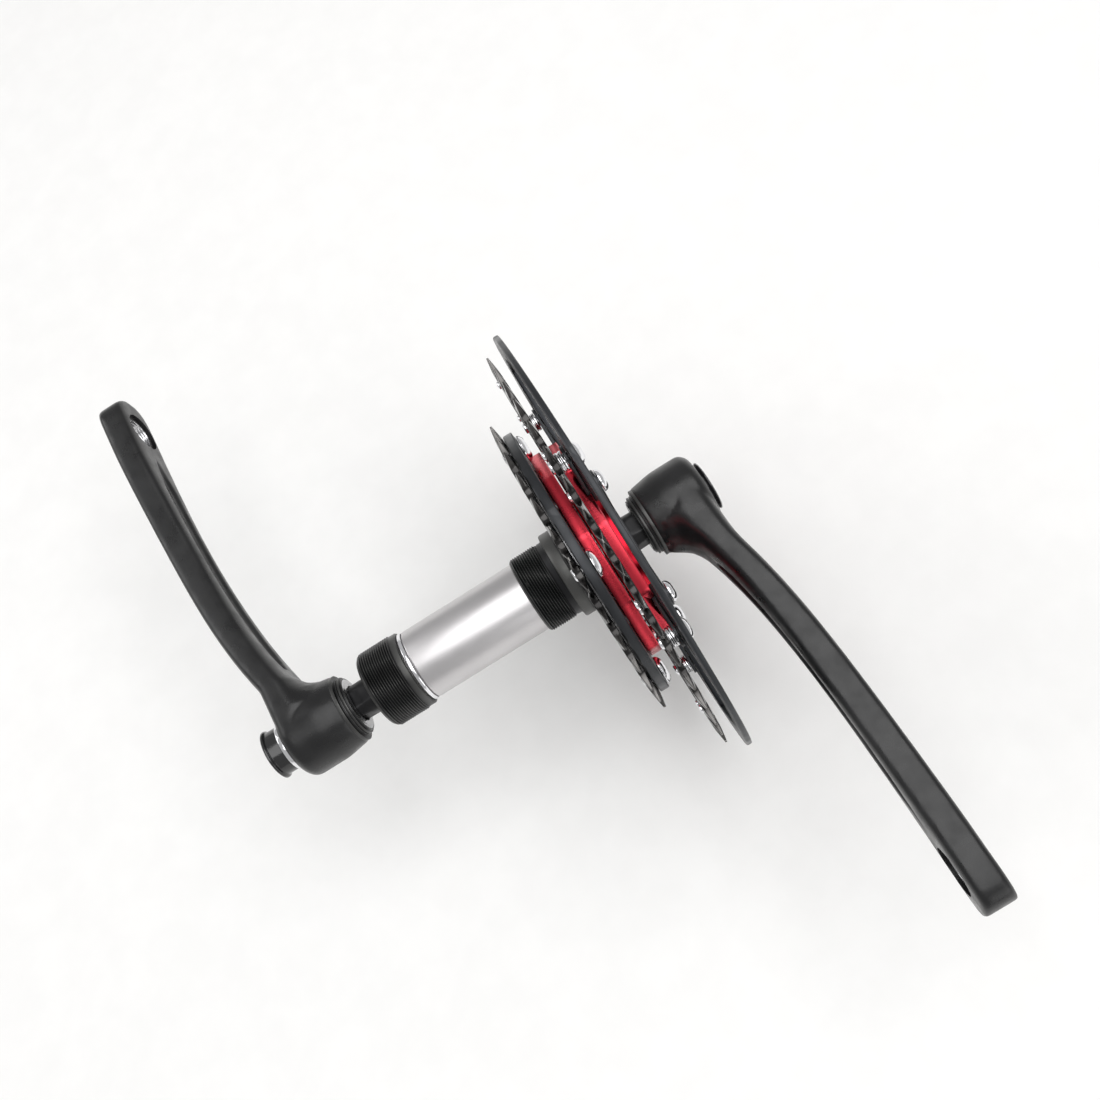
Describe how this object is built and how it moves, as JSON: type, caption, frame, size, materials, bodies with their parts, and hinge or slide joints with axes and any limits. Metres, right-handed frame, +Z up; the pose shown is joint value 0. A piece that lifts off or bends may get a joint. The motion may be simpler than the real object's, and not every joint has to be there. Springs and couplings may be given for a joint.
{
  "type": "bicycle crankset",
  "caption": "Bicycle crankset on a cartridge bottom bracket: square-taper spindle, two black crank arms, a freewheeling double chainring set with a red ten-sided hub and a spoked guard ring.",
  "frame": {"origin": "on the spindle axis, in the plane where the drive-side cup's flange seats on the frame's bottom bracket shell", "axes": "+X along the spindle towards the chainrings (the rider's right), +Z up, +Y to the rear of the left crank: the cranks are level, the right one pointing to -Y and the left one to +Y"},
  "size_m": [0.2281, 0.386, 0.196],
  "materials": {
    "black_crank": "black paint over a forged alloy arm, fine grain, satin",
    "black_steel": "black oxide over machined steel, satin, worn brighter on the edges",
    "gloss_black_cap": "glossy black moulding",
    "satin_sleeve": "satin silver, fine turning marks",
    "dark_chrome": "dark polished plate, blanked edges",
    "red_anodised": "red anodised, turned and polished",
    "black_anodised": "black anodised, satin",
    "bright_chrome": "polished plate",
    "seal_rubber": "black seal",
    "bearing_steel": "ground steel"
  },
  "bodies": {
    "root": {"drive_side_cup": "black_steel", "left_cup": "black_steel", "cartridge_sleeve": "satin_sleeve", "sleeve_retaining_ring": "bright_chrome", "drive_bearing_outer_race": "bearing_steel", "left_bearing_outer_race": "bearing_steel", "drive_bearing_seal": "seal_rubber", "left_bearing_seal": "seal_rubber"},
    "spindle_and_cranks": {"spindle": "black_steel", "drive_bearing_inner_race": "bearing_steel", "left_bearing_inner_race": "bearing_steel", "right_crank_arm": "black_crank", "left_crank_arm": "black_crank", "right_crank_bolt": "bearing_steel", "left_crank_bolt": "bearing_steel", "right_dust_cap": "gloss_black_cap", "left_dust_cap": "gloss_black_cap", "freewheel_driver": "black_steel", "pawl_ring_spring": "bearing_steel"},
    "chainring_set": {"freewheel_ratchet_body": "bearing_steel", "chainring_32": "dark_chrome", "carrier_ring": "black_anodised", "red_inner_hub_plate": "red_anodised", "chainring_44": "dark_chrome", "red_outer_hub_plate": "red_anodised", "guard_ring": "black_anodised", "outer_plate": "black_anodised", "guard_tab_1": "black_anodised", "guard_tab_2": "black_anodised", "guard_tab_3": "black_anodised", "guard_tab_4": "black_anodised", "guard_tab_5": "black_anodised", "spacer_sleeve_1": "bright_chrome", "spacer_sleeve_2": "bright_chrome", "spacer_sleeve_3": "bright_chrome", "spacer_sleeve_4": "bright_chrome", "spacer_sleeve_5": "bright_chrome", "guard_bolt_1": "bright_chrome", "guard_bolt_2": "bright_chrome", "guard_bolt_3": "bright_chrome", "guard_bolt_4": "bright_chrome", "guard_bolt_5": "bright_chrome", "hub_bolt_1": "bright_chrome", "hub_bolt_2": "bright_chrome", "hub_bolt_3": "bright_chrome", "hub_bolt_4": "bright_chrome", "hub_bolt_5": "bright_chrome", "carrier_bolt_1": "bright_chrome", "carrier_bolt_2": "bright_chrome", "carrier_bolt_3": "bright_chrome", "carrier_bolt_4": "bright_chrome", "carrier_bolt_5": "bright_chrome"},
    "drive_bearing_ball_set": {"drive_bearing_balls": "bearing_steel"},
    "left_bearing_ball_set": {"left_bearing_balls": "bearing_steel"},
    "freewheel_ball_set": {"freewheel_left_balls": "bearing_steel", "freewheel_right_balls": "bearing_steel"},
    "pawl_1_body": {"pawl_1": "bearing_steel"},
    "pawl_2_body": {"pawl_2": "bearing_steel"},
    "pawl_3_body": {"pawl_3": "bearing_steel"}
  },
  "joints": [
    {"name": "crank_spin", "type": "hinge", "parent": "root", "child": "spindle_and_cranks", "pos_m": [0, 0, 0], "axis": [1, 0, 0], "continuous": true},
    {"name": "drive_bearing_roll", "type": "hinge", "parent": "root", "child": "drive_bearing_ball_set", "pos_m": [-0.0062, 0, 0], "axis": [1, 0, 0], "continuous": true},
    {"name": "left_bearing_roll", "type": "hinge", "parent": "root", "child": "left_bearing_ball_set", "pos_m": [-0.0798, 0, 0], "axis": [1, 0, 0], "continuous": true},
    {"name": "chainring_freewheel", "type": "hinge", "parent": "spindle_and_cranks", "child": "chainring_set", "pos_m": [0.0205, 0, 0], "axis": [1, 0, 0], "continuous": true},
    {"name": "freewheel_ball_roll", "type": "hinge", "parent": "spindle_and_cranks", "child": "freewheel_ball_set", "pos_m": [0.0205, 0, 0], "axis": [1, 0, 0], "continuous": true},
    {"name": "pawl_1_swing", "type": "hinge", "parent": "spindle_and_cranks", "child": "pawl_1_body", "pos_m": [0.0204, 0.0164, 0], "axis": [1, 0, 0], "range_deg": [0, 13], "stiffness_Nm_per_rad": 0.0001, "springref_deg": 42.63},
    {"name": "pawl_2_swing", "type": "hinge", "parent": "spindle_and_cranks", "child": "pawl_2_body", "pos_m": [0.0204, -0.0082, 0.0142], "axis": [1, 0, 0], "range_deg": [0, 13], "stiffness_Nm_per_rad": 0.0001, "springref_deg": 42.63},
    {"name": "pawl_3_swing", "type": "hinge", "parent": "spindle_and_cranks", "child": "pawl_3_body", "pos_m": [0.0204, -0.0082, -0.0142], "axis": [1, 0, 0], "range_deg": [0, 13], "stiffness_Nm_per_rad": 0.0001, "springref_deg": 42.63}
  ],
  "couplings": [
    {"joint": "drive_bearing_roll", "follows": "crank_spin", "ratio": 0.417},
    {"joint": "left_bearing_roll", "follows": "crank_spin", "ratio": 0.417},
    {"joint": "freewheel_ball_roll", "follows": "chainring_freewheel", "ratio": 0.557}
  ]
}
